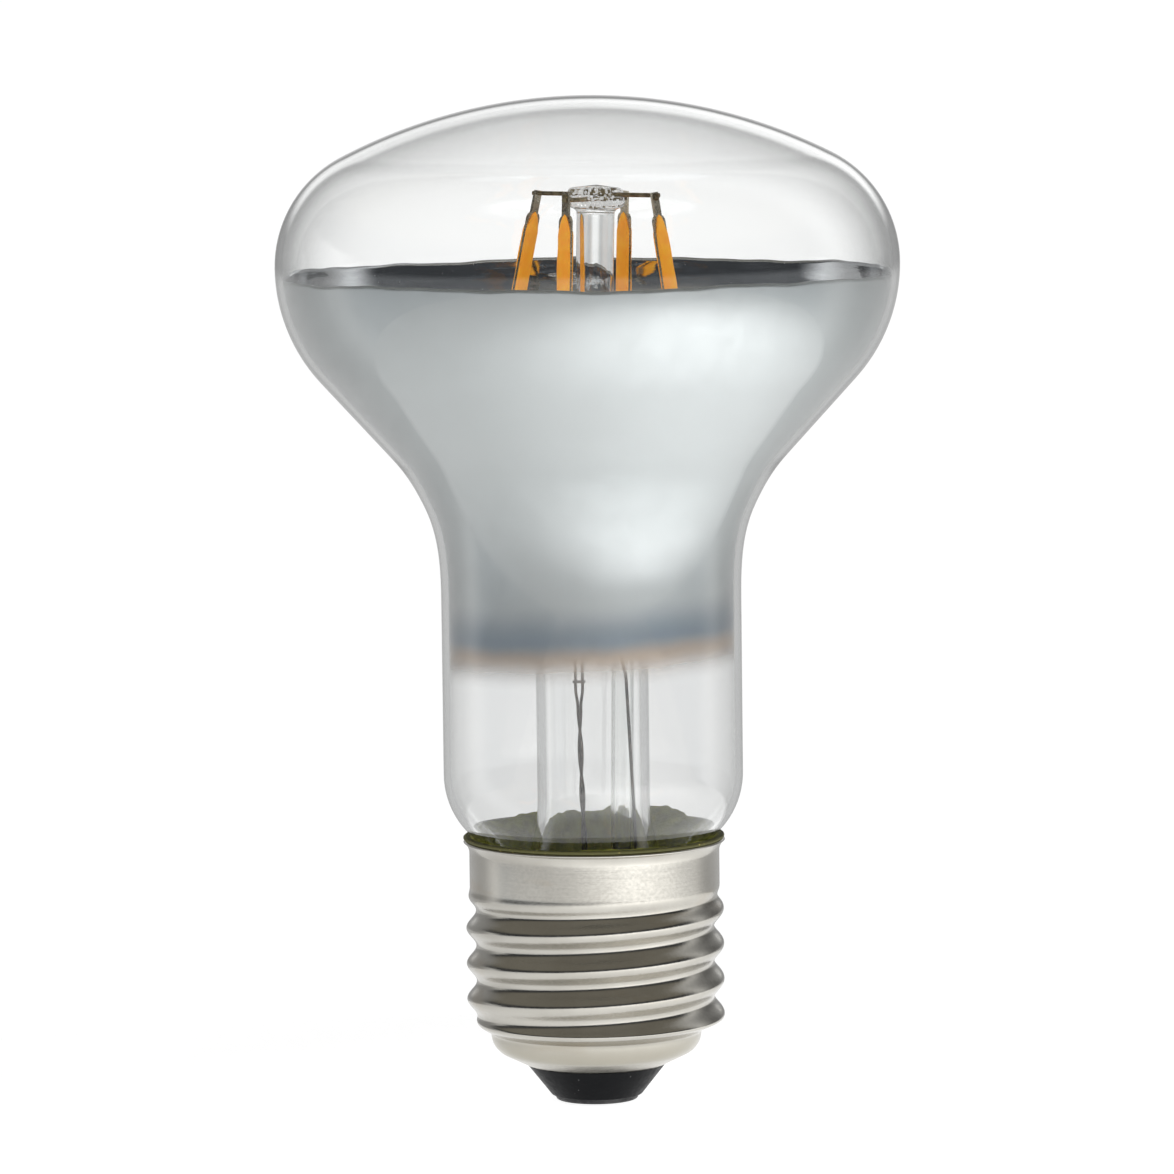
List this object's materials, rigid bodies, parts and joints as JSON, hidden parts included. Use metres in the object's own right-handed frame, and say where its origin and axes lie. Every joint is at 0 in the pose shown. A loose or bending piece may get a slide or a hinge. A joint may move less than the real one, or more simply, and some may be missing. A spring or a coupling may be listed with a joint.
{
  "type": "led filament reflector bulb",
  "caption": "Reflector lamp with a mirrored glass envelope, clear dome, filaments on a glass stem and a threaded screw cap with a centre contact.",
  "frame": {"origin": "centre of the centre contact's flat lower face", "axes": "+Z along the lamp axis from the contact to the dome, -Y towards the side the picture shows"},
  "size_m": [0.063, 0.063, 0.102],
  "materials": {
    "clear_glass": "clear blown glass",
    "mirror_film": "evaporated aluminium",
    "strip_metal": "satin strip",
    "phosphor": "orange yellow phosphor gel",
    "led_chip": "bare chips",
    "wire": "drawn nickel wire",
    "oxidised_wire": "heat darkened wire",
    "cement": "olive basing cement",
    "nickel_shell": "satin nickel plate",
    "insulator": "black glass insulator",
    "contact": "pressed contact",
    "board": "glass fibre board",
    "capacitor": "sleeved can",
    "package": "moulded package",
    "resistor": "lacquered body"
  },
  "bodies": {
    "root": {"glass_envelope": "clear_glass", "mirror_coating": "mirror_film", "stem_flare": "clear_glass", "exhaust_tube": "clear_glass", "stem_pillar": "clear_glass", "support_wire_1": "wire", "support_wire_2": "wire", "inner_lead_left": "wire", "inner_lead_right": "wire", "cross_wire_left": "wire", "cross_wire_right": "wire", "outer_lead_left": "oxidised_wire", "outer_lead_right": "oxidised_wire", "cement_ring": "cement", "screw_shell": "nickel_shell", "insulator": "insulator", "centre_contact": "contact", "driver_board": "board", "smoothing_capacitor": "capacitor", "bridge_rectifier": "package", "driver_chip": "package", "fuse_resistor": "resistor", "chip_resistors": "package", "contact_wire": "wire", "shell_wire": "wire", "filament_strip_1": "strip_metal", "filament_chips_1": "led_chip", "filament_phosphor_1": "phosphor", "filament_strip_2": "strip_metal", "filament_chips_2": "led_chip", "filament_phosphor_2": "phosphor", "filament_strip_3": "strip_metal", "filament_chips_3": "led_chip", "filament_phosphor_3": "phosphor", "filament_strip_4": "strip_metal", "filament_chips_4": "led_chip", "filament_phosphor_4": "phosphor"}
  },
  "joints": []
}
